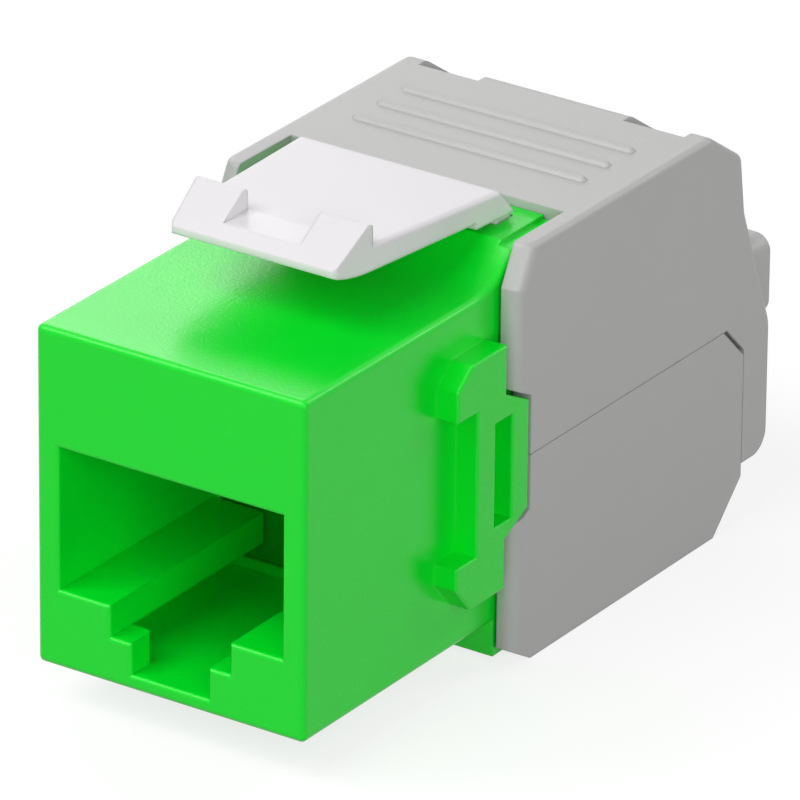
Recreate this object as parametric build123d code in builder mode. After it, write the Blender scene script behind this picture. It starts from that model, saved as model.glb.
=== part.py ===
"""Toolless keystone jack: snap-in front housing, panel latch, contacts, board and press-on wire cap."""

import os
from math import atan2, sqrt, tan

from build123d import *

# Driving dimensions in millimetres
# Depths run back from the front face, heights run up from the underside of the rear base

# Front housing
body_width = 14.5
body_height = 16.6
body_drop = 1.95
body_length = 15.0
body_edge_radius = 0.3
body_roof = 1.55
front_band_wall = 2.6
chamber_width = 11.4

# Plug port in the front face, with the two steps that hold the plug's lever
port_width = 12.1
port_height = 7.0
port_sill = 3.85
port_depth = 12.0
port_edge_round = 0.2
lever_way_width = 6.5
lever_way_drop = 1.55
lever_slot_width = 4.2
lever_slot_drop = 3.1
lever_pocket_width = 10.0
lever_catch_wall = 1.7
lever_catch_round = 0.35

# Panel snap: fixed hook below, sprung lugs above, side ears as the stop
panel_catch_depth = 8.9
panel_gap = 1.3
hook_width = 8.0
hook_ramp = 1.4
hook_land = 0.6
ear_height = 12.05
ear_lift = 0.12
ear_length = 3.9
ear_gap = 7.15
ear_notch = 1.6
ear_chamfer_run = 1.2
ear_top_chamfer = 0.9
ear_foot_chamfer = 1.4
ear_edge_round = 0.12
ear_window_height = 5.15
ear_window_depth = 1.35
ear_window_setback = 3.05
ear_tab_height = 6.25
ear_tab_reach = 0.95
ear_tab_slant = 0.9

# Shoulder behind the latch and the flange that closes the base
sweep_length = 2.0
shoulder_rise = 1.55
shoulder_lead = 1.9
shoulder_pad_width = 12.8
shoulder_step = 0.2
shoulder_overlap = 1.35
flange_thickness = 1.4
flange_clearance = 0.25

# Panel latch
latch_bay = 5.05
latch_front_width = 8.9
latch_rear_width = 11.1
latch_thickness = 1.25
latch_lift = 2.4
latch_fall = 0.45
latch_nose = 2.6
latch_nose_rise = 0.45
latch_lip = 0.35
latch_bevel_run = 1.05
latch_bevel_drop = 1.25
latch_brow_round = 0.4
latch_root_width = 10.4
latch_root_reach = 2.35
latch_root_gap = 0.35
latch_root_step = 0.3
latch_edge_round = 0.2
latch_corner_round = 0.3
lug_height = 1.0
lug_width = 2.4
lug_land = 0.3
lug_edge_round = 0.15
bead_radius = 0.75
bead_sink = 0.45
neck_width = 0.9
pivot_setback = 1.55

# Rear shell
cheek_wall = 1.0
cheek_gap = 0.2
cheek_round = 0.75
floor_wall = 1.2
top_wall = 1.1
plate_edge = 0.4
plate_lip_wall = 0.75
rear_base_wall = 1.2
rear_cap_wall = 2.05
front_chamfer_depth = 1.0
front_chamfer_height = 1.9
foot_chamfer_depth = 1.3
foot_chamfer_height = 0.75
heel_chamfer = 2.3
seam_chamfer = 1.75
cap_skirt_height = 2.95
cap_skirt_round = 1.1
cap_edge_round = 0.3

# Cap top, sloping back, cable hood
cap_back_run = 5.2
cap_back_round = 0.8
cap_brow_run = 2.55
cap_brow_drop = 1.8
cap_brow_round = 0.6
cap_waist_run = 2.15
cap_waist_drop = 4.75
cap_waist_round = 2.0
cap_slope_drop = 10.5
cap_back_wall = 1.9
grip_rib_count = 3
grip_rib_pitch = 2.0
grip_rib_length = 12.8
grip_rib_width = 0.5
grip_rib_height = 0.18
grip_rib_draft = 35
grip_rib_setback = 3.4
scoop_depth = 0.65
scoop_inner = 4.0
scoop_outer = 7.3
cable_diameter = 7.6
cable_height = 7.2
hood_width = 14.0
hood_reach = 2.35
hood_bottom = 8.5
hood_height = 4.05
hood_round = 0.8

# Contact carrier and the eight sprung contacts
contact_count = 8
contact_pitch = 1.02
contact_width = 0.45
contact_thickness = 0.3
contact_run_height = 2.05
contact_arm_drop = 2.45
contact_corner_depth = 1.65
contact_bend_radius = 0.6
contact_tail_radius = 0.5
contact_arm_depth = 10.5
contact_tip_length = 2.25
carrier_wall = 3.45
carrier_skirt = 0.9
comb_depth = 1.05
comb_margin = 0.45

# Circuit board, terminal block and terminals
board_thickness = 1.2
board_standoff = 2.0
board_rail_reach = 1.0
row_count = 4
terminal_pitch = 2.4
row_offset = 4.5
blade_thickness = 0.4
blade_width = 1.6
blade_headroom = 0.7
blade_slit = 0.4
blade_slit_depth = 3.6
blade_mouth = 1.0
tail_width = 0.6
block_width = 13.0
block_end_wall = 0.3
block_slab = 1.8
ridge_width = 2.6
ridge_height = 10.2
wire_slot_width = 1.1
wire_slot_depth = 3.8
wire_room = 0.85

# Wire pressers under the cap
presser_gap = 0.4
presser_reach = 3.0
presser_thickness = 0.7

# Clearances
fit_clearance = 0.05
pivot_clearance = 0.05
seam_gap = 0.03
seam_slit = 0.2
skirt_clearance = 0.05
slide_clearance = 0.1
board_clearance = 0.1
board_slot_clearance = 0.1
tab_clearance = 0.15
groove_clearance = 0.03
part_gap = 0.3

# Heights worked out from the driving sizes
body_top = body_drop + body_height
mid_height = body_drop + body_height / 2
shoulder_height = body_top + shoulder_rise
shell_height = shoulder_height + plate_edge
plate_underside = shell_height - plate_lip_wall
ear_middle = mid_height + ear_lift
port_floor = body_drop + port_sill
port_top = port_floor + port_height
chamber_top = body_top - body_roof
board_seat = floor_wall + board_standoff
board_top = board_seat + board_thickness
ridge_top = board_top + ridge_height
presser_bottom = ridge_top + presser_gap
pivot_height = shoulder_height - bead_sink
contact_run = port_top + contact_run_height
contact_arm = port_top - contact_arm_drop

# Depths worked out from the driving sizes
panel_stop = panel_catch_depth + panel_gap
shell_front = body_length
plate_front = shell_front + latch_bay
pivot_depth = plate_front - pivot_setback
shoulder_front = pivot_depth - shoulder_lead
flange_back = shell_front + flange_thickness
housing_end = plate_front + shoulder_overlap
block_start = housing_end + part_gap
block_length = row_count * terminal_pitch + 2 * block_end_wall
block_end = block_start + block_length
base_inner = block_end + wire_room
base_end = base_inner + rear_base_wall
cap_inner = base_end + skirt_clearance
rear_depth = cap_inner + rear_cap_wall
overall_length = rear_depth + hood_reach
carrier_front = port_depth + 3 * fit_clearance
carrier_back = carrier_front + carrier_wall
contact_tail = carrier_back + contact_thickness / 2
board_front = carrier_front + carrier_skirt + part_gap

# Widths worked out from the driving sizes
inner_width = body_width + 2 * cheek_gap
shell_width = inner_width + 2 * cheek_wall
board_width = chamber_width - 2 * board_clearance
contact_span = (contact_count - 1) * contact_pitch
blade_depths = [block_start + block_end_wall + (row + 0.5) * terminal_pitch for row in range(row_count)]
contact_sides = [index * contact_pitch - contact_span / 2 for index in range(contact_count)]
beyond = 2 * body_width

# Planes through the front face's foot: depth and height, width and height, width and depth
front = -overall_length / 2
side = Plane(origin=(0, front, 0), x_dir=(0, 1, 0), z_dir=(1, 0, 0))
face = Plane(origin=(0, front, 0), x_dir=(1, 0, 0), z_dir=(0, -1, 0))
plan = Plane(origin=(0, front, 0), x_dir=(1, 0, 0), z_dir=(0, 0, 1))

# The bend at the nose of a contact turns about this depth
arm_angle = atan2(contact_run - contact_arm, contact_arm_depth - contact_corner_depth)
bend_centre = contact_corner_depth + contact_bend_radius / tan(arm_angle / 2)


def block(x_low, x_high, depth_low, depth_high, low, high, mode=Mode.ADD):
    """Add or cut a plain block given by its limits in width, depth and height."""
    with BuildSketch(plan.offset(low)) as outline:
        with Locations(((x_low + x_high) / 2, (depth_low + depth_high) / 2)):
            Rectangle(x_high - x_low, depth_high - depth_low)
    extrude(outline.sketch, amount=high - low, mode=mode)


def contact_ribbon(x_place, thickness, width, mode=Mode.ADD):
    """Add or cut one bent contact strip: tail up, run forward, bend back down, tip in the comb."""
    with BuildSketch(side.offset(x_place)) as ribbon:
        with BuildLine():
            FilletPolyline(
                (contact_tail, board_seat + groove_clearance),
                (contact_tail, contact_run),
                (contact_corner_depth, contact_run),
                (contact_arm_depth, contact_arm),
                (contact_arm_depth + contact_tip_length, contact_arm),
                radius=[contact_tail_radius, contact_bend_radius, contact_bend_radius],
            )
        trace(line_width=thickness)
    extrude(ribbon.sketch, amount=width / 2, both=True, mode=mode)


def ear_outline():
    """Draw the side ear: two stop blocks at the front, a bar, and a tab that enters the cheek."""
    low = ear_middle - ear_height / 2
    high = ear_middle + ear_height / 2
    tab_end_half = (ear_tab_height - ear_tab_slant) / 2
    tab_root_half = (ear_tab_height + ear_tab_slant) / 2
    tab_end = shell_front + ear_tab_reach
    back = panel_stop + ear_length
    with BuildLine() as outline:
        Polyline(
            (panel_stop, ear_middle + ear_gap / 2),
            (panel_stop, high - ear_top_chamfer),
            (panel_stop + ear_chamfer_run, high),
            (back, high),
            (back, ear_middle + tab_root_half),
            (tab_end, ear_middle + tab_end_half),
            (tab_end, ear_middle - tab_end_half),
            (back, ear_middle - tab_root_half),
            (back, low),
            (panel_stop + ear_chamfer_run, low),
            (panel_stop, low + ear_foot_chamfer),
            (panel_stop, ear_middle - ear_gap / 2),
            (panel_stop + ear_notch, ear_middle - ear_gap / 2),
            (panel_stop + ear_notch, ear_middle + ear_gap / 2),
            close=True,
        )
    make_face(outline.edges())


def tab_notch():
    """Cut the slot in the front edge of both cheeks that takes the ear tabs."""
    ear_back = panel_stop + ear_length
    slot_end = shell_front + ear_tab_reach + tab_clearance
    slot_end_half = (ear_tab_height - ear_tab_slant) / 2 + tab_clearance
    slant_per_depth = ear_tab_slant / (shell_front + ear_tab_reach - ear_back)
    slot_root_half = slot_end_half + slant_per_depth * (slot_end - ear_back)
    with BuildSketch(side) as slot:
        with BuildLine():
            Polyline(
                (ear_back, ear_middle - slot_root_half),
                (slot_end, ear_middle - slot_end_half),
                (slot_end, ear_middle + slot_end_half),
                (ear_back, ear_middle + slot_root_half),
                close=True,
            )
        make_face()
    extrude(slot.sketch, amount=beyond, both=True, mode=Mode.SUBTRACT)


# Front housing: one moulding with the port, hook, ears, shoulder and flange
with BuildPart() as front_housing:
    with BuildSketch(side):
        with BuildLine():
            Polyline((0, body_drop), (0, body_top), (shell_front - sweep_length, body_top))
            TangentArc(
                (shell_front - sweep_length, body_top), (shoulder_front, shoulder_height), tangent=(1, 0)
            )
            Polyline(
                (shoulder_front, shoulder_height),
                (plate_front - fit_clearance, shoulder_height),
                (plate_front - fit_clearance, plate_underside - fit_clearance),
                (housing_end, plate_underside - fit_clearance),
                (housing_end, floor_wall + fit_clearance),
                (flange_back, floor_wall + fit_clearance),
                (flange_back, flange_clearance),
                (shell_front, flange_clearance),
                (shell_front, body_drop),
                (0, body_drop),
            )
        make_face()
    extrude(amount=body_width / 2, both=True)
    front_edges = front_housing.faces().sort_by(Axis.Y)[0].edges()
    long_edges = front_housing.edges().filter_by(Axis.Y)
    body_edges = long_edges.filter_by_position(Axis.Y, front, front + shell_front)
    fillet(front_edges + body_edges, body_edge_radius)
    # Lower bands of the shoulder beside the pad
    for sign in (-1, 1):
        outer = sign * body_width / 2
        inner = sign * shoulder_pad_width / 2
        block(
            min(inner, outer), max(inner, outer), shell_front, plate_front,
            shoulder_height - shoulder_step, shell_height, mode=Mode.SUBTRACT,
        )
    # Side ears, flush with the cheeks
    for sign in (-1, 1):
        with BuildSketch(side.offset(sign * body_width / 2)):
            ear_outline()
            with Locations((panel_stop + ear_window_setback + ear_window_depth / 2, mid_height)):
                Rectangle(ear_window_depth, ear_window_height, mode=Mode.SUBTRACT)
        extrude(amount=sign * (cheek_gap + cheek_wall))
    ear_faces = front_housing.faces().filter_by(Axis.X).group_by(Axis.X)
    fillet(ear_faces[0].edges() + ear_faces[-1].edges(), ear_edge_round)
    # Fixed hook under the body, level with the base
    with BuildSketch(side):
        with BuildLine():
            Polyline(
                (panel_catch_depth - hook_land - hook_ramp, body_drop),
                (panel_catch_depth - hook_land, 0),
                (panel_catch_depth, 0),
                (panel_catch_depth, body_drop + body_edge_radius),
                (panel_catch_depth - hook_land - hook_ramp, body_drop + body_edge_radius),
                close=True,
            )
        make_face()
    extrude(amount=hook_width / 2, both=True)
    # Port with its lever way and slot
    with BuildSketch(face):
        with Locations((0, port_floor)):
            Rectangle(port_width, port_height, align=(Align.CENTER, Align.MIN))
            Rectangle(lever_way_width, lever_way_drop, align=(Align.CENTER, Align.MAX))
            Rectangle(lever_slot_width, lever_slot_drop, align=(Align.CENTER, Align.MAX))
    extrude(amount=-port_depth, mode=Mode.SUBTRACT)
    fillet(front_housing.faces().sort_by(Axis.Y)[0].inner_wires()[0].edges(), port_edge_round)
    # Pocket where the plug's lever springs out behind the catch wall
    block(
        -lever_pocket_width / 2, lever_pocket_width / 2, lever_catch_wall, port_depth,
        port_floor - lever_slot_drop, port_floor - lever_way_drop, mode=Mode.SUBTRACT,
    )
    upright = front_housing.edges().filter_by(Axis.Z)
    catch_edges = upright.filter_by_position(Axis.X, -lever_way_width / 2, lever_way_width / 2)
    catch_foot = (0, front + lever_catch_wall, port_floor - lever_slot_drop)
    fillet(catch_edges.sort_by_distance(catch_foot)[0:2], lever_catch_round)
    # Contact chamber over the port, and the rear well for the carrier and board
    block(
        -chamber_width / 2, chamber_width / 2, front_band_wall, housing_end,
        port_top - fit_clearance, chamber_top, mode=Mode.SUBTRACT,
    )
    block(
        -chamber_width / 2, chamber_width / 2, port_depth - fit_clearance, housing_end,
        board_seat, chamber_top, mode=Mode.SUBTRACT,
    )
    # Round socket across the shoulder for the latch bead
    with BuildSketch(side):
        with Locations((pivot_depth, pivot_height)):
            Circle(bead_radius + pivot_clearance)
    extrude(amount=latch_root_width / 2 + slide_clearance, both=True, mode=Mode.SUBTRACT)

# Panel latch: sprung lever with two ramped lugs and a snap-in bead
plate_top = body_top + latch_lift + latch_thickness
root_back = pivot_depth + neck_width / 2
plate_rear = root_back - latch_bevel_run
root_bottom = shoulder_height + latch_root_gap
nose_front = panel_catch_depth - latch_nose
nose_bottom = body_top + latch_lift + latch_nose_rise
nose_top = nose_bottom + latch_lip
lug_top = plate_top + lug_height
fall_per_depth = latch_fall / (plate_rear - panel_catch_depth)
with BuildPart() as panel_latch:
    with BuildSketch(side) as latch_profile:
        with BuildLine():
            Polyline(
                (nose_front, nose_bottom),
                (nose_front, plate_top + latch_nose * fall_per_depth),
                (plate_rear, plate_top - latch_fall),
                (root_back, plate_top - latch_fall - latch_bevel_drop),
                (root_back, pivot_height),
                (pivot_depth - neck_width / 2, pivot_height),
                (pivot_depth - neck_width / 2, root_bottom),
                (pivot_depth - latch_root_reach, root_bottom),
                (pivot_depth - latch_root_reach, root_bottom + latch_root_step),
                (panel_catch_depth, body_top + latch_lift),
            )
            TangentArc(
                (panel_catch_depth, body_top + latch_lift), (nose_front, nose_bottom), tangent=(-1, 0)
            )
        make_face()
        brow_corner = Vertex(plate_rear, plate_top - latch_fall)
        fillet(latch_profile.vertices().sort_by_distance(brow_corner)[0], latch_brow_round)
    extrude(amount=latch_rear_width / 2, both=True)
    # Taper in plan towards the nose
    with BuildSketch(plan) as latch_plan:
        with BuildLine():
            Polyline(
                (-latch_front_width / 2, nose_front),
                (latch_front_width / 2, nose_front),
                (latch_rear_width / 2, root_back),
                (-latch_rear_width / 2, root_back),
                close=True,
            )
        make_face()
    extrude(amount=lug_top, mode=Mode.INTERSECT)
    upper_faces = panel_latch.faces().filter_by(lambda surface: surface.normal_at().Z > 0.5)
    fillet(upper_faces.edges().filter_by(Axis.X, reverse=True), latch_edge_round)
    # Two lugs that catch behind the panel, on a ramped nose with rounded corners
    gap_half = latch_front_width / 2 - lug_width
    for sign in (-1, 1):
        lug_limits = sorted((sign * gap_half, sign * latch_rear_width / 2))
        block(*lug_limits, nose_front, panel_catch_depth, nose_top, lug_top)
    with BuildSketch(side):
        with BuildLine():
            Polyline(
                (nose_front, nose_top),
                (panel_catch_depth - lug_land, lug_top),
                (nose_front, lug_top),
                close=True,
            )
        make_face()
    extrude(amount=latch_rear_width, both=True, mode=Mode.SUBTRACT)
    block(-gap_half, gap_half, 0, panel_catch_depth, plate_top, lug_top, mode=Mode.SUBTRACT)
    with BuildSketch(plan) as nose_plan:
        add(latch_plan.sketch_local)
        fillet(nose_plan.vertices().group_by(Axis.Y)[0], latch_corner_round)
    extrude(amount=lug_top, mode=Mode.INTERSECT)
    fillet(panel_latch.faces().group_by(Axis.Z)[-1].edges().group_by(Axis.Y)[-1], lug_edge_round)
    # Narrower root with the bead that snaps into the shoulder
    for sign in (-1, 1):
        spare_limits = sorted((sign * latch_root_width / 2, sign * beyond))
        block(*spare_limits, plate_rear, housing_end, 0, root_bottom, mode=Mode.SUBTRACT)
    with BuildSketch(side):
        with Locations((pivot_depth, pivot_height)):
            Circle(bead_radius)
    extrude(amount=latch_root_width / 2, both=True)

# Contact carrier: tray with grooves over its top and back, and a comb for the tips
plate_floor = contact_run - contact_bend_radius * 2 + contact_thickness / 2 + groove_clearance
groove_floor = contact_run - contact_thickness / 2
with BuildPart() as contact_carrier:
    carrier_half = chamber_width / 2 - fit_clearance
    nose_radius = contact_bend_radius - contact_thickness / 2 - groove_clearance
    rib_front = bend_centre + 2 * contact_bend_radius
    with BuildSketch(side):
        with BuildLine():
            Polyline(
                (bend_centre, plate_floor),
                (carrier_front, plate_floor),
                (carrier_front, board_seat + fit_clearance),
                (carrier_front + carrier_skirt, board_seat + fit_clearance),
                (carrier_front + carrier_skirt, board_top + fit_clearance),
                (contact_tail + contact_thickness / 2, board_top + fit_clearance),
                (contact_tail + contact_thickness / 2, contact_run + contact_thickness / 2),
                (rib_front, contact_run + contact_thickness / 2),
                (rib_front, groove_floor - groove_clearance),
                (bend_centre, groove_floor - groove_clearance),
                close=True,
            )
        make_face()
        with Locations((bend_centre, contact_run - contact_bend_radius)):
            Circle(nose_radius)
    extrude(amount=carrier_half, both=True)
    # Side rails that guide the carrier in the chamber
    for sign in (-1, 1):
        rail_inner = contact_span / 2 + contact_pitch
        block(
            min(sign * rail_inner, sign * carrier_half), max(sign * rail_inner, sign * carrier_half),
            rib_front, contact_tail + contact_thickness / 2, contact_run, chamber_top - fit_clearance,
        )
    for x_place in contact_sides:
        contact_ribbon(
            x_place, contact_thickness + 2 * groove_clearance, contact_width + 2 * groove_clearance,
            mode=Mode.SUBTRACT,
        )
        comb_half = contact_width / 2 + 2 * groove_clearance
        block(
            x_place - comb_half, x_place + comb_half, carrier_front, carrier_front + comb_depth,
            contact_arm - comb_margin, plate_floor, mode=Mode.SUBTRACT,
        )

# Circuit board with plated slots for the contact tails and the terminal tails
with BuildPart() as circuit_board:
    block(-board_width / 2, board_width / 2, board_front, block_end, board_seat, board_top)
    with BuildSketch(plan.offset(board_top)):
        with Locations([(x_place, contact_tail) for x_place in contact_sides]):
            Rectangle(contact_width + 2 * board_slot_clearance, contact_thickness + 2 * board_slot_clearance)
        with Locations([(sign * row_offset, depth) for sign in (-1, 1) for depth in blade_depths]):
            Rectangle(blade_thickness + 2 * board_slot_clearance, tail_width + 2 * board_slot_clearance)
    extrude(amount=-board_thickness, mode=Mode.SUBTRACT)

# Terminal block: slab with two slotted ridges
pocket_half = blade_thickness / 2 + groove_clearance
with BuildPart() as terminal_block:
    block(-block_width / 2, block_width / 2, block_start, block_end, board_top, board_top + block_slab)
    for sign in (-1, 1):
        middle = sign * row_offset
        block(
            middle - ridge_width / 2, middle + ridge_width / 2, block_start, block_end,
            board_top, ridge_top,
        )
    for depth in blade_depths:
        block(
            -beyond, beyond, depth - wire_slot_width / 2, depth + wire_slot_width / 2,
            ridge_top - wire_slot_depth, ridge_top, mode=Mode.SUBTRACT,
        )
        for sign in (-1, 1):
            block(
                sign * row_offset - pocket_half, sign * row_offset + pocket_half,
                depth - blade_width / 2 - groove_clearance, depth + blade_width / 2 + groove_clearance,
                board_top, ridge_top, mode=Mode.SUBTRACT,
            )

# Rear base: lower half of the shell, with board rails and a cradle for the cable
base_top = mid_height - seam_gap / 2
with BuildPart() as rear_base:
    with BuildSketch(side):
        with BuildLine():
            Polyline(
                (shell_front, foot_chamfer_height),
                (shell_front + foot_chamfer_depth, 0),
                (base_end - heel_chamfer, 0),
                (base_end, heel_chamfer),
                (base_end, base_top - seam_chamfer),
                (base_end - seam_chamfer, base_top),
                (shell_front, base_top),
                close=True,
            )
        make_face()
    extrude(amount=shell_width / 2, both=True)
    fillet(rear_base.edges().filter_by(Axis.Z).group_by(Axis.Y)[0], cheek_round)
    heel_start = base_end - heel_chamfer
    heel_inset = sqrt(2) * rear_base_wall
    with BuildSketch(side):
        with BuildLine():
            Polyline(
                (0, floor_wall),
                (heel_start + floor_wall - heel_inset, floor_wall),
                (base_inner, base_inner - heel_start + heel_inset),
                (base_inner, shell_height),
                (0, shell_height),
                close=True,
            )
        make_face()
    extrude(amount=inner_width / 2, both=True, mode=Mode.SUBTRACT)
    block(
        -inner_width / 2, inner_width / 2, 0, flange_back + slide_clearance,
        0, shell_height, mode=Mode.SUBTRACT,
    )
    tab_notch()
    # Rails that carry the board under the terminal block
    for sign in (-1, 1):
        rail_inner = sign * (row_offset - board_rail_reach)
        rail_outer = sign * (inner_width + cheek_wall) / 2
        block(
            min(rail_inner, rail_outer), max(rail_inner, rail_outer), block_start, blade_depths[-1],
            floor_wall / 2, board_seat,
        )
    # Cradle for the cable, open at the top
    with BuildSketch(face.offset(-base_end)):
        with Locations((0, cable_height)):
            Circle(cable_diameter / 2)
            Rectangle(cable_diameter, shell_height, align=(Align.CENTER, Align.MIN))
    extrude(amount=rear_base_wall + wire_room / 2, mode=Mode.SUBTRACT)

# Wire cap: upper half of the shell, pressed down over the wires
cap_bottom = mid_height + seam_gap / 2
back_top = (rear_depth - cap_back_run, shell_height)
brow = (rear_depth - cap_brow_run, shell_height - cap_brow_drop)
waist = (rear_depth - cap_waist_run, shell_height - cap_waist_drop)
slope_foot = (rear_depth, shell_height - cap_slope_drop)
with BuildPart() as wire_cap:
    with BuildSketch(side) as cap_profile:
        with BuildLine():
            Polyline(
                (shell_front, cap_bottom),
                (shell_front, shell_height - front_chamfer_height),
                (shell_front + front_chamfer_depth, shell_height),
                back_top,
                brow,
                waist,
                slope_foot,
                (rear_depth, cap_skirt_height),
                (cap_inner, cap_skirt_height),
                (cap_inner, cap_bottom - seam_chamfer + seam_slit),
                (cap_inner - seam_chamfer + seam_slit, cap_bottom),
                close=True,
            )
        make_face()
        for corner, corner_round in (
            (back_top, cap_back_round),
            (brow, cap_brow_round),
            (waist, cap_waist_round),
            ((rear_depth, cap_skirt_height), cap_skirt_round),
        ):
            fillet(cap_profile.vertices().sort_by_distance(Vertex(*corner))[0], corner_round)
    extrude(amount=shell_width / 2, both=True)
    cheek_edges = wire_cap.faces().sort_by(Axis.X)[0].edges() + wire_cap.faces().sort_by(Axis.X)[-1].edges()
    chamfer_end = front + shell_front + front_chamfer_depth
    front_edges = cheek_edges.filter_by_position(Axis.Y, front + shell_front, chamfer_end)
    fillet(front_edges.filter_by(Axis.Y, reverse=True), cheek_round)
    fillet(wire_cap.edges().filter_by(Axis.Y).group_by(Axis.Z)[-1], cap_edge_round)
    # Inside of the shell, open at the front for the latch
    with BuildSketch(side):
        with BuildLine():
            Polyline(
                (0, 0),
                (cap_inner, 0),
                (cap_inner, slope_foot[1] - cap_back_wall / 2),
                (waist[0] - cap_back_wall, waist[1]),
                (brow[0] - cap_back_wall, brow[1] - top_wall / 2),
                (back_top[0] - cap_back_wall, shell_height - top_wall),
                (housing_end + part_gap, shell_height - top_wall),
                (housing_end + part_gap, plate_underside),
                (plate_front, plate_underside),
                (plate_front, 2 * shell_height),
                (0, 2 * shell_height),
                close=True,
            )
        make_face()
    extrude(amount=inner_width / 2, both=True, mode=Mode.SUBTRACT)
    tab_notch()
    # Bars under the top with fingers that press each wire into its terminal
    for sign in (-1, 1):
        middle = sign * row_offset
        block(
            middle - ridge_width / 2, middle + ridge_width / 2, block_start, block_end,
            presser_bottom, shell_height - top_wall,
        )
        for depth in blade_depths:
            for finger in (-1, 1):
                finger_middle = middle + finger * (ridge_width - presser_thickness) / 2
                finger_half = wire_slot_width / 2 - slide_clearance
                block(
                    finger_middle - presser_thickness / 2, finger_middle + presser_thickness / 2,
                    depth - finger_half, depth + finger_half,
                    presser_bottom - presser_reach, presser_bottom,
                )
    # Grip ribs across the top
    first_rib = plate_front + grip_rib_setback
    with BuildSketch(plan.offset(shell_height)):
        with Locations([(0, first_rib + index * grip_rib_pitch) for index in range(grip_rib_count)]):
            SlotOverall(grip_rib_length, grip_rib_width)
    extrude(amount=grip_rib_height, taper=grip_rib_draft)
    # Two scoops in the back edge, either side of the middle tab
    for sign in (-1, 1):
        with BuildSketch(side.offset(sign * scoop_inner)):
            with BuildLine():
                Polyline(
                    (back_top[0] - scoop_depth, 2 * shell_height),
                    (back_top[0] - scoop_depth, shell_height),
                    (brow[0] - scoop_depth, brow[1]),
                    (waist[0] - scoop_depth, waist[1]),
                    (rear_depth, slope_foot[1] + scoop_depth),
                    (2 * rear_depth, slope_foot[1] + scoop_depth),
                    (2 * rear_depth, 2 * shell_height),
                    close=True,
                )
            make_face()
        extrude(amount=sign * (scoop_outer - scoop_inner), mode=Mode.SUBTRACT)
    # Hood over the cable way
    with BuildSketch(face.offset(-overall_length)):
        with Locations((0, hood_bottom)):
            RectangleRounded(hood_width, hood_height, hood_round, align=(Align.CENTER, Align.MIN))
    extrude(amount=hood_reach + rear_cap_wall)
    # Cable way, open at the foot so the cap comes down over the cable
    with BuildSketch(face.offset(-overall_length)):
        with Locations((0, cable_height)):
            Circle(cable_diameter / 2)
            Rectangle(cable_diameter, shell_height, align=(Align.CENTER, Align.MAX))
    extrude(amount=hood_reach + rear_cap_wall + seam_chamfer, mode=Mode.SUBTRACT)

os.makedirs("parts", exist_ok=True)
for piece, label in (
    (front_housing, "front_housing"),
    (panel_latch, "panel_latch"),
    (contact_carrier, "contact_carrier"),
    (circuit_board, "circuit_board"),
    (terminal_block, "terminal_block"),
    (rear_base, "rear_base"),
    (wire_cap, "wire_cap"),
):
    piece.part.label = label
    export_step(piece.part, f"parts/{label}.step")

# Jack contacts: gold-plated strips, one for each line of the plug
for index, x_place in enumerate(contact_sides):
    with BuildPart() as jack_contact:
        contact_ribbon(x_place, contact_thickness, contact_width)
    jack_contact.part.label = f"jack_contact_{index + 1}"
    export_step(jack_contact.part, f"parts/{jack_contact.part.label}.step")

# Terminals: forked blades that cut through the wire's insulation
blade_top = ridge_top - blade_headroom
for index in range(2 * row_count):
    x_place = row_offset if index < row_count else -row_offset
    depth = blade_depths[index % row_count]
    with BuildPart() as idc_terminal:
        with BuildSketch(side.offset(x_place)):
            with Locations((depth, board_top)):
                Rectangle(blade_width, blade_top - board_top, align=(Align.CENTER, Align.MIN))
                Rectangle(tail_width, board_thickness, align=(Align.CENTER, Align.MAX))
            with Locations((depth, blade_top)):
                Rectangle(blade_slit, blade_slit_depth, align=(Align.CENTER, Align.MAX), mode=Mode.SUBTRACT)
            with BuildLine():
                Polyline(
                    (depth - blade_mouth / 2, blade_top),
                    (depth, blade_top - blade_mouth),
                    (depth + blade_mouth / 2, blade_top),
                    close=True,
                )
            make_face(mode=Mode.SUBTRACT)
        extrude(amount=blade_thickness / 2, both=True)
    idc_terminal.part.label = f"idc_terminal_{index + 1}"
    export_step(idc_terminal.part, f"parts/{idc_terminal.part.label}.step")
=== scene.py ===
"""Looks of a snap-in keystone jack: moulded plastics, plated contacts, studio light and camera."""

import logging
import math
from dataclasses import dataclass
from enum import Enum
from typing import Any

import bpy
from mathutils import Matrix, Vector

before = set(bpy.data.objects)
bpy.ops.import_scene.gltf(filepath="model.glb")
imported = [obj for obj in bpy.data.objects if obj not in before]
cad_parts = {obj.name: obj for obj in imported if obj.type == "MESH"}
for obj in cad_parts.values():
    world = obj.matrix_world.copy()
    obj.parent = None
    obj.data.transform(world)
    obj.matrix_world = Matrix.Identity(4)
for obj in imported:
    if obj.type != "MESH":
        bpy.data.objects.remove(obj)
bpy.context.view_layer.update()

LOG = logging.getLogger("keystone_jack")
MM = 0.001

# Wires that the jack joins, each with one contact and one terminal
WAYS = 8

# Build-up of the noise that draws flow marks, mould grain and rolling lines
FLOW_DETAIL = 2.0
FLOW_SWIRL = 0.6
GRAIN_DETAIL = 3.0
GRAIN_CRISPNESS = 0.6
LINE_DETAIL = 2.0

# Rays that feel for a nearby edge, where the shading rounds it off
EDGE_RAYS = 4

# Light that scatters inside a plastic travels alike in all three colours
EVEN_SCATTER = (1.0, 1.0, 1.0)


def to_linear(hex_colour: str) -> tuple[float, float, float, float]:
    """Turn an sRGB hex colour into the linear colour that shaders take.

    Args:
        hex_colour: Six hex digits after a hash, such as "#A5A5A5".

    Returns:
        Linear red, green, blue and an alpha of one.
    """
    channels = [int(hex_colour[place:place + 2], 16) / 255 for place in (1, 3, 5)]
    curved = [c / 12.92 if c <= 0.04045 else ((c + 0.055) / 1.055) ** 2.4 for c in channels]
    return (curved[0], curved[1], curved[2], 1.0)


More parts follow.
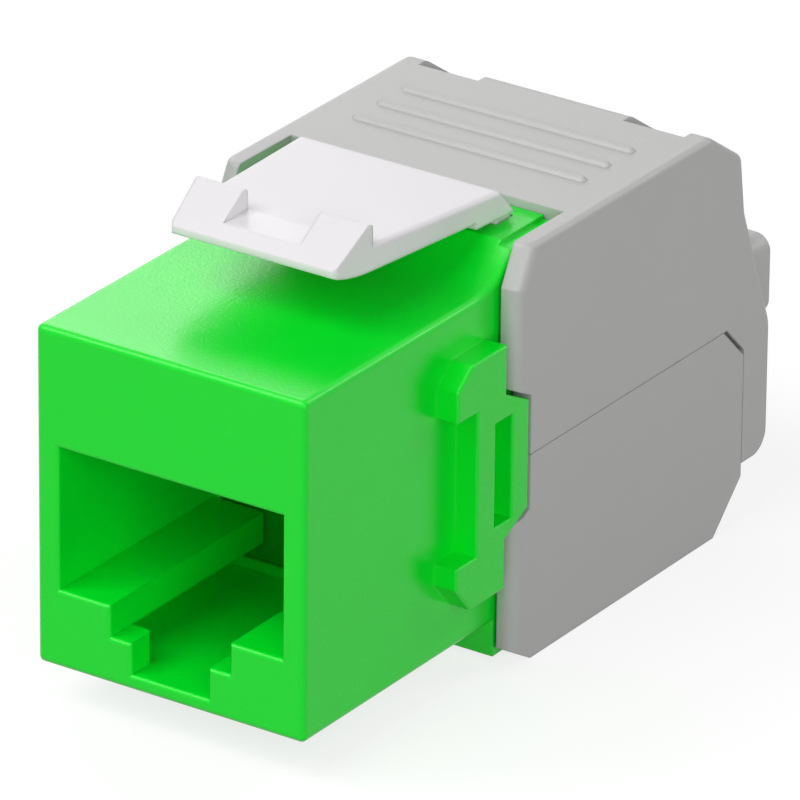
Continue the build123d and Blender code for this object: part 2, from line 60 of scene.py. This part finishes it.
def per_metre(size_mm: float) -> float:
    """Give the texture scale at which one cell of a pattern is that many millimetres wide."""
    return 1.0 / (size_mm * MM)


def add_node(
    tree: bpy.types.NodeTree,
    kind: str,
    settings: dict[str, Any] | None = None,
    links: dict[str, bpy.types.NodeSocket] | None = None,
) -> bpy.types.Node:
    """Add one shader node, set its values and join its inputs.

    Args:
        tree: The node tree that takes the node.
        kind: Blender's name for the node type.
        settings: Values by the identifier of an input, or by property name where no input has it.
        links: Output sockets by the identifier of the input that they feed.

    Returns:
        The new node.
    """
    node = tree.nodes.new(kind)
    inputs = {socket.identifier: socket for socket in node.inputs}
    for name, value in (settings or {}).items():
        if name in inputs:
            inputs[name].default_value = value
        else:
            setattr(node, name, value)
    for name, socket in (links or {}).items():
        tree.links.new(socket, inputs[name])
    return node


def empty_material(name: str) -> bpy.types.Material:
    """Start a material whose node tree has nothing in it.

    Args:
        name: The material's name.

    Returns:
        The material.
    """
    made = bpy.data.materials.new(name)
    made.use_nodes = True
    made.node_tree.nodes.clear()
    return made


class MouldFinish(Enum):
    """How the steel of the mould was finished: roughness of the plastic, and depth of its grain in mm."""

    POLISHED = (0.18, 0.002)
    FINE_GRAIN = (0.22, 0.013)
    SATIN = (0.34, 0.006)
    SPARK_ERODED = (0.46, 0.014)

    @property
    def roughness(self) -> float:
        """Give the plastic's mean roughness."""
        return self.value[0]

    @property
    def grain_depth_mm(self) -> float:
        """Give the height of the grain that the mould prints on the plastic."""
        return self.value[1]


@dataclass(frozen=True)
class MouldedPlastic:
    """A thermoplastic moulding: dyed all through, with the grain of its mould and faint flow marks.

    A mould's own grain is some hundredths of a millimetre wide, too fine to show in the render, so it is
    drawn a few times coarser.

    Attributes:
        name: The plastic and how its surface was made.
        colour: Body colour.
        finish: How the mould was finished.
        ior: Refractive index of the plastic.
        grain_mm: Width of one grain of the mould's texture, as drawn.
        flow_mm: Width of one band where the melt ran and cooled.
        flow_depth: How far the bands stray from the body colour and gloss, as a share.
        edge_mm: Radius to which the mould's sharpest edges are worn.
        reflectance: Specular level, where half is a clean surface of that index.
        glow: Share of light that scatters through the plastic before it leaves.
        glow_mm: How far that light travels.
    """

    name: str
    colour: str
    finish: MouldFinish
    ior: float
    grain_mm: float
    flow_mm: float
    flow_depth: float = 0.03
    edge_mm: float = 0.12
    reflectance: float = 0.5
    glow: float = 0.0
    glow_mm: float = 0.5

    def material(self) -> bpy.types.Material:
        """Build the plastic as a Blender material.

        Returns:
            The material, ready to assign.
        """
        made = empty_material(self.name)
        tree = made.node_tree
        place = add_node(tree, "ShaderNodeTexCoord").outputs["Object"]
        flow = add_node(
            tree, "ShaderNodeTexNoise",
            {"Scale": per_metre(self.flow_mm), "Detail": FLOW_DETAIL, "Distortion": FLOW_SWIRL},
            {"Vector": place},
        )
        grain = add_node(
            tree, "ShaderNodeTexNoise",
            {"Scale": per_metre(self.grain_mm), "Detail": GRAIN_DETAIL, "Roughness": GRAIN_CRISPNESS},
            {"Vector": place},
        )
        shade = add_node(
            tree, "ShaderNodeMapRange",
            {"To Min": 1.0 - self.flow_depth, "To Max": 1.0 + self.flow_depth},
            {"Value": flow.outputs["Fac"]},
        )
        tone = add_node(
            tree, "ShaderNodeHueSaturation",
            {"Color": to_linear(self.colour)},
            {"Value": shade.outputs["Result"]},
        )
        gloss = add_node(
            tree, "ShaderNodeMath",
            {"operation": "MULTIPLY", "Value_001": self.finish.roughness},
            {"Value": shade.outputs["Result"]},
        )
        worn = add_node(tree, "ShaderNodeBevel", {"samples": EDGE_RAYS, "Radius": self.edge_mm * MM})
        bump = add_node(
            tree, "ShaderNodeBump",
            {"Strength": 1.0, "Distance": self.finish.grain_depth_mm * MM},
            {"Height": grain.outputs["Fac"], "Normal": worn.outputs["Normal"]},
        )
        shader = add_node(
            tree, "ShaderNodeBsdfPrincipled",
            {
                "IOR": self.ior,
                "Specular IOR Level": self.reflectance,
                "Subsurface Weight": self.glow,
                "Subsurface Radius": EVEN_SCATTER,
                "Subsurface Scale": self.glow_mm * MM,
            },
            {
                "Base Color": tone.outputs["Color"],
                "Roughness": gloss.outputs["Value"],
                "Normal": bump.outputs["Normal"],
            },
        )
        add_node(tree, "ShaderNodeOutputMaterial", links={"Surface": shader.outputs["BSDF"]})
        return made


@dataclass(frozen=True)
class PlatedMetal:
    """A stamped metal strip with a thin plating: drawn lines along it and a soft, bright reflection.

    Real rolling lines are about a hundredth of a millimetre apart, too fine to show in the render, so they
    are drawn a few times coarser.

    Attributes:
        name: The metal and its plating.
        colour: Colour of the plating.
        roughness: Mean roughness of the plating.
        line_mm: Spacing of the rolling lines, as drawn.
        line_depth_mm: Depth of the rolling lines.
        line_strength: How strongly the lines tilt the reflection.
        line_stretch: How fast the lines change along the strip, as a share of how fast they do across it.
        gloss_spread: How far the lines stray from the mean roughness, as a share.
    """

    name: str
    colour: str
    roughness: float
    line_mm: float
    line_depth_mm: float = 0.002
    line_strength: float = 0.6
    line_stretch: float = 0.08
    gloss_spread: float = 0.3

    def material(self) -> bpy.types.Material:
        """Build the plated metal as a Blender material.

        Returns:
            The material, ready to assign.
        """
        made = empty_material(self.name)
        tree = made.node_tree
        place = add_node(tree, "ShaderNodeTexCoord").outputs["Object"]
        stretched = add_node(
            tree, "ShaderNodeMapping",
            {"Scale": (1.0, self.line_stretch, self.line_stretch)},
            {"Vector": place},
        )
        lines = add_node(
            tree, "ShaderNodeTexNoise",
            {"Scale": per_metre(self.line_mm), "Detail": LINE_DETAIL},
            {"Vector": stretched.outputs["Vector"]},
        )
        gloss = add_node(
            tree, "ShaderNodeMapRange",
            {
                "To Min": (1.0 - self.gloss_spread) * self.roughness,
                "To Max": (1.0 + self.gloss_spread) * self.roughness,
            },
            {"Value": lines.outputs["Fac"]},
        )
        bump = add_node(
            tree, "ShaderNodeBump",
            {"Strength": self.line_strength, "Distance": self.line_depth_mm * MM},
            {"Height": lines.outputs["Fac"]},
        )
        shader = add_node(
            tree, "ShaderNodeBsdfPrincipled",
            {"Base Color": to_linear(self.colour), "Metallic": 1.0},
            {"Roughness": gloss.outputs["Result"], "Normal": bump.outputs["Normal"]},
        )
        add_node(tree, "ShaderNodeOutputMaterial", links={"Surface": shader.outputs["BSDF"]})
        return made


# Dyed ABS from a finely grained mould: a saturated green whose flat faces softly mirror what is near
GREEN_ABS = MouldedPlastic(
    "green_abs_moulded", "#02E52A", MouldFinish.FINE_GRAIN,
    ior=1.50, grain_mm=0.16, flow_mm=6.0, reflectance=0.32,
)
# Acetal from a satin mould: a cool off-white that stays bright in its own shade
WHITE_ACETAL = MouldedPlastic(
    "white_acetal_moulded", "#E3E0E3", MouldFinish.SATIN,
    ior=1.48, grain_mm=0.14, flow_mm=5.0, edge_mm=0.2, reflectance=0.7, glow=0.10,
)
# Polycarbonate and ABS blend from a spark-eroded mould: a neutral grey with a fine dull grain
GREY_BLEND = MouldedPlastic(
    "grey_polycarbonate_blend_moulded", "#B1B1B0", MouldFinish.SPARK_ERODED,
    ior=1.58, grain_mm=0.12, flow_mm=7.0, reflectance=0.7,
)
# Glass-filled polyester: a deeper green, partly painted shade set as dark as the back of the port looks;
# duller, because the fibres break up its skin
GREEN_POLYESTER = MouldedPlastic(
    "green_polyester_glass_filled", "#02A217", MouldFinish.SATIN,
    ior=1.57, grain_mm=0.10, flow_mm=3.0, reflectance=0.2,
)
# Natural glass-filled polyester: a warm white with a dry grain
NATURAL_POLYESTER = MouldedPlastic(
    "natural_polyester_glass_filled", "#D8D4C8", MouldFinish.SPARK_ERODED,
    ior=1.57, grain_mm=0.10, flow_mm=3.0,
)
# Solder mask over glass laminate: a deep green gloss, faintly clouded by the glass below
BOARD_LAMINATE = MouldedPlastic(
    "glass_laminate_solder_mask", "#0F4A2A", MouldFinish.POLISHED,
    ior=1.55, grain_mm=0.25, flow_mm=1.2, flow_depth=0.08,
)
# Phosphor bronze with hard gold plating: warm and mirror-like along the strip
GOLD_PLATED_BRONZE = PlatedMetal("phosphor_bronze_gold_plated", "#E6BE6A", roughness=0.20, line_mm=0.04)
# Phosphor bronze with matt tin plating: a pale, slightly milky grey
TIN_PLATED_BRONZE = PlatedMetal("phosphor_bronze_tin_plated", "#C9C8C3", roughness=0.36, line_mm=0.05)


def dress(node: str, finish: bpy.types.Material) -> None:
    """Give a solid of the frame its finish.

    Args:
        node: Name of the solid.
        finish: The material that it takes.
    """
    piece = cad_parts[node]
    piece.data.materials.clear()
    piece.data.materials.append(finish)
    LOG.info("dressed %s in %s", node, finish.name)


@dataclass
class FrontHousing:
    """The green moulding with the plug port, ears and shoulder."""

    finish: MouldedPlastic = GREEN_ABS

    def build(self) -> None:
        """Dress the housing."""
        dress("front_housing", self.finish.material())


@dataclass
class PanelLatch:
    """The off-white sprung latch on top."""

    finish: MouldedPlastic = WHITE_ACETAL

    def build(self) -> None:
        """Dress the latch."""
        dress("panel_latch", self.finish.material())


@dataclass
class RearShell:
    """The grey base and the press-on wire cap."""

    finish: MouldedPlastic = GREY_BLEND

    def build(self) -> None:
        """Dress both halves of the shell in one plastic."""
        grey = self.finish.material()
        for node in ("rear_base", "wire_cap"):
            dress(node, grey)


@dataclass
class ContactSet:
    """The carrier in the housing and its sprung contacts."""

    count: int = WAYS
    # The carrier's deeper green is partly painted shade for the back of the port
    carrier_finish: MouldedPlastic = GREEN_POLYESTER
    contact_finish: PlatedMetal = GOLD_PLATED_BRONZE

    def build(self) -> None:
        """Dress the carrier and the contacts."""
        dress("contact_carrier", self.carrier_finish.material())
        gold = self.contact_finish.material()
        for number in range(1, self.count + 1):
            dress(f"jack_contact_{number}", gold)


@dataclass
class TerminalField:
    """The board, the terminal block and its forked terminals."""

    count: int = WAYS
    board_finish: MouldedPlastic = BOARD_LAMINATE
    block_finish: MouldedPlastic = NATURAL_POLYESTER
    terminal_finish: PlatedMetal = TIN_PLATED_BRONZE

    def build(self) -> None:
        """Dress the board, the block and the terminals."""
        dress("circuit_board", self.board_finish.material())
        dress("terminal_block", self.block_finish.material())
        tin = self.terminal_finish.material()
        for number in range(1, self.count + 1):
            dress(f"idc_terminal_{number}", tin)


def bearing(azimuth_deg: float, elevation_deg: float) -> Vector:
    """Give the direction from the jack towards a bearing.

    Args:
        azimuth_deg: Angle from the front (the port's side) towards the right.
        elevation_deg: Angle over the floor.

    Returns:
        A direction of length one.
    """
    turn, rise = math.radians(azimuth_deg), math.radians(elevation_deg)
    return Vector((math.sin(turn) * math.cos(rise), -math.cos(turn) * math.cos(rise), math.sin(rise)))


def seen_directly(tree: bpy.types.NodeTree) -> bpy.types.NodeSocket:
    """Add the test for rays that the eye follows: straight, mirrored or through glass.

    Args:
        tree: The node tree that takes the test.

    Returns:
        The socket that is one for such rays.
    """
    path = add_node(tree, "ShaderNodeLightPath").outputs
    mirrored = add_node(
        tree, "ShaderNodeMath",
        {"operation": "MAXIMUM"},
        {"Value": path["Is Glossy Ray"], "Value_001": path["Is Transmission Ray"]},
    )
    either = add_node(
        tree, "ShaderNodeMath",
        {"operation": "MAXIMUM"},
        {"Value": path["Is Camera Ray"], "Value_001": mirrored.outputs["Value"]},
    )
    return either.outputs["Value"]


@dataclass(frozen=True)
class Softbox:
    """One square lamp of the studio.

    Attributes:
        name: What the lamp does.
        azimuth_deg: Bearing of the lamp, from the front towards the right.
        elevation_deg: Height of the lamp over the floor, as an angle.
        side_mm: Side of the lamp's square face.
        watts: Power.
        distance_mm: Distance from the jack.
    """

    name: str
    azimuth_deg: float
    elevation_deg: float
    side_mm: float
    watts: float
    distance_mm: float = 600.0

    def hang(self, aim: Vector) -> None:
        """Put the lamp in the scene, facing the jack.

        Args:
            aim: The point that it faces, in metres.
        """
        lamp = bpy.data.lights.new(self.name, "AREA")
        lamp.shape = "SQUARE"
        lamp.size = self.side_mm * MM
        lamp.energy = self.watts
        away = bearing(self.azimuth_deg, self.elevation_deg)
        holder = bpy.data.objects.new(self.name, lamp)
        holder.location = aim + away * self.distance_mm * MM
        holder.rotation_euler = away.to_track_quat("Z", "Y").to_euler()
        bpy.context.scene.collection.objects.link(holder)
        LOG.info("hung %s", self.name)


@dataclass
class Studio:
    """The plain pale floor, the soft light and the camera.

    Attributes:
        floor_side_mm: Side of the square floor.
        floor_gap_mm: Gap under the jack, so that its underside and the floor aren't in one plane.
        floor_colour: Colour that the floor has in the light of the lamps.
        floor_lift: What the floor adds to that for the eye alone, to look white.
        sky_colour: Colour of the world.
        sky_strength: How strongly the world lights the jack.
        sky_seen: How bright the world looks to the eye.
        camera_azimuth_deg: Bearing of the camera, from the front towards the right.
        camera_elevation_deg: Height of the camera over the floor, as an angle.
        camera_roll_deg: Turn of the camera about its line of sight.
        camera_distance_mm: Distance of the camera from the point that it looks at.
        camera_aim_mm: The point in the middle of the picture.
        lens_mm: Focal length of the lens.
        sensor_mm: Width of the sensor.
        lamps: The lamps around the jack.
    """

    floor_side_mm: float = 4000.0
    floor_gap_mm: float = 0.02
    floor_colour: str = "#8C8C8C"
    floor_lift: float = 0.78
    sky_colour: str = "#FFFFFF"
    sky_strength: float = 0.22
    sky_seen: float = 1.0
    camera_azimuth_deg: float = 33.99
    camera_elevation_deg: float = 24.89
    camera_roll_deg: float = 0.55
    camera_distance_mm: float = 460.6
    camera_aim_mm: tuple[float, float, float] = (1.184, -2.861, 10.917)
    lens_mm: float = 458.4
    sensor_mm: float = 36.0
    lamps: tuple[Softbox, ...] = (
        # Lights the right side and reaches into the port
        Softbox("key_softbox", azimuth_deg=48.0, elevation_deg=15.0, side_mm=420.0, watts=1.95),
        # Lights the top and the front, and throws the latch's shadow to the right
        Softbox("high_softbox", azimuth_deg=-26.0, elevation_deg=53.0, side_mm=460.0, watts=2.02),
        # Draws the bright line along the top's front edge
        Softbox("edge_softbox", azimuth_deg=-52.0, elevation_deg=47.0, side_mm=160.0, watts=0.35),
        # Lays the pale reflection on the left of the top
        Softbox("back_softbox", azimuth_deg=231.0, elevation_deg=27.0, side_mm=320.0, watts=0.75),
        # Draws the bright line along the top's right edge
        Softbox("rim_softbox", azimuth_deg=150.0, elevation_deg=31.0, side_mm=150.0, watts=0.43),
    )

    def build(self) -> None:
        """Build the floor, the sky, the lamps and the camera."""
        self.lay_floor()
        self.paint_sky()
        aim = Vector(self.camera_aim_mm) * MM
        for lamp in self.lamps:
            lamp.hang(aim)
        self.place_camera(aim)

    def lay_floor(self) -> None:
        """Lay the pale floor, which keeps the jack's shadow and looks white away from it."""
        half, level = self.floor_side_mm * MM / 2, -self.floor_gap_mm * MM
        corners = [(-half, -half, level), (half, -half, level), (half, half, level), (-half, half, level)]
        mesh = bpy.data.meshes.new("floor")
        mesh.from_pydata(corners, [], [(0, 1, 2, 3)])
        floor = bpy.data.objects.new("floor", mesh)
        bpy.context.scene.collection.objects.link(floor)
        mesh.materials.append(self.paper())

    def paper(self) -> bpy.types.Material:
        """Build the floor's matt paper: dull in the light, and lifted to white for the eye.

        Returns:
            The material, ready to assign.
        """
        made = empty_material("matt_paper_sweep")
        tree = made.node_tree
        matt = add_node(tree, "ShaderNodeBsdfDiffuse", {"Color": to_linear(self.floor_colour)})
        lift = add_node(
            tree, "ShaderNodeMath",
            {"operation": "MULTIPLY", "Value_001": self.floor_lift},
            {"Value": seen_directly(tree)},
        )
        glow = add_node(tree, "ShaderNodeEmission", links={"Strength": lift.outputs["Value"]})
        both = add_node(
            tree, "ShaderNodeAddShader",
            links={"Shader": matt.outputs["BSDF"], "Shader_001": glow.outputs["Emission"]},
        )
        add_node(tree, "ShaderNodeOutputMaterial", links={"Surface": both.outputs["Shader"]})
        return made

    def paint_sky(self) -> None:
        """Give the world an even soft light that looks white."""
        world = bpy.data.worlds.new("studio")
        bpy.context.scene.world = world
        world.use_nodes = True
        tree = world.node_tree
        tree.nodes.clear()
        strength = add_node(
            tree, "ShaderNodeMapRange",
            {"To Min": self.sky_strength, "To Max": self.sky_seen},
            {"Value": seen_directly(tree)},
        )
        sky = add_node(
            tree, "ShaderNodeBackground",
            {"Color": to_linear(self.sky_colour)},
            {"Strength": strength.outputs["Result"]},
        )
        add_node(tree, "ShaderNodeOutputWorld", links={"Surface": sky.outputs["Background"]})

    def place_camera(self, aim: Vector) -> None:
        """Put the camera at the photograph's angle.

        Args:
            aim: The point in the middle of the picture, in metres.
        """
        away = bearing(self.camera_azimuth_deg, self.camera_elevation_deg)
        eye = bpy.data.cameras.new("camera")
        eye.lens = self.lens_mm
        eye.sensor_width = self.sensor_mm
        eye.sensor_fit = "HORIZONTAL"
        holder = bpy.data.objects.new("camera", eye)
        level = away.to_track_quat("Z", "Y").to_matrix().to_4x4()
        roll = Matrix.Rotation(math.radians(self.camera_roll_deg), 4, "Z")
        holder.matrix_world = Matrix.Translation(aim + away * self.camera_distance_mm * MM) @ level @ roll
        bpy.context.scene.collection.objects.link(holder)
        bpy.context.scene.camera = holder


def main() -> None:
    """Dress each sub-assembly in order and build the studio."""
    logging.basicConfig(level=logging.INFO, format="%(name)s: %(message)s")
    bpy.context.scene.view_settings.view_transform = "Standard"
    for assembly in (FrontHousing(), PanelLatch(), RearShell(), ContactSet(), TerminalField(), Studio()):
        assembly.build()
        LOG.info("finished %s", type(assembly).__name__)


if __name__ == "__main__":
    main()
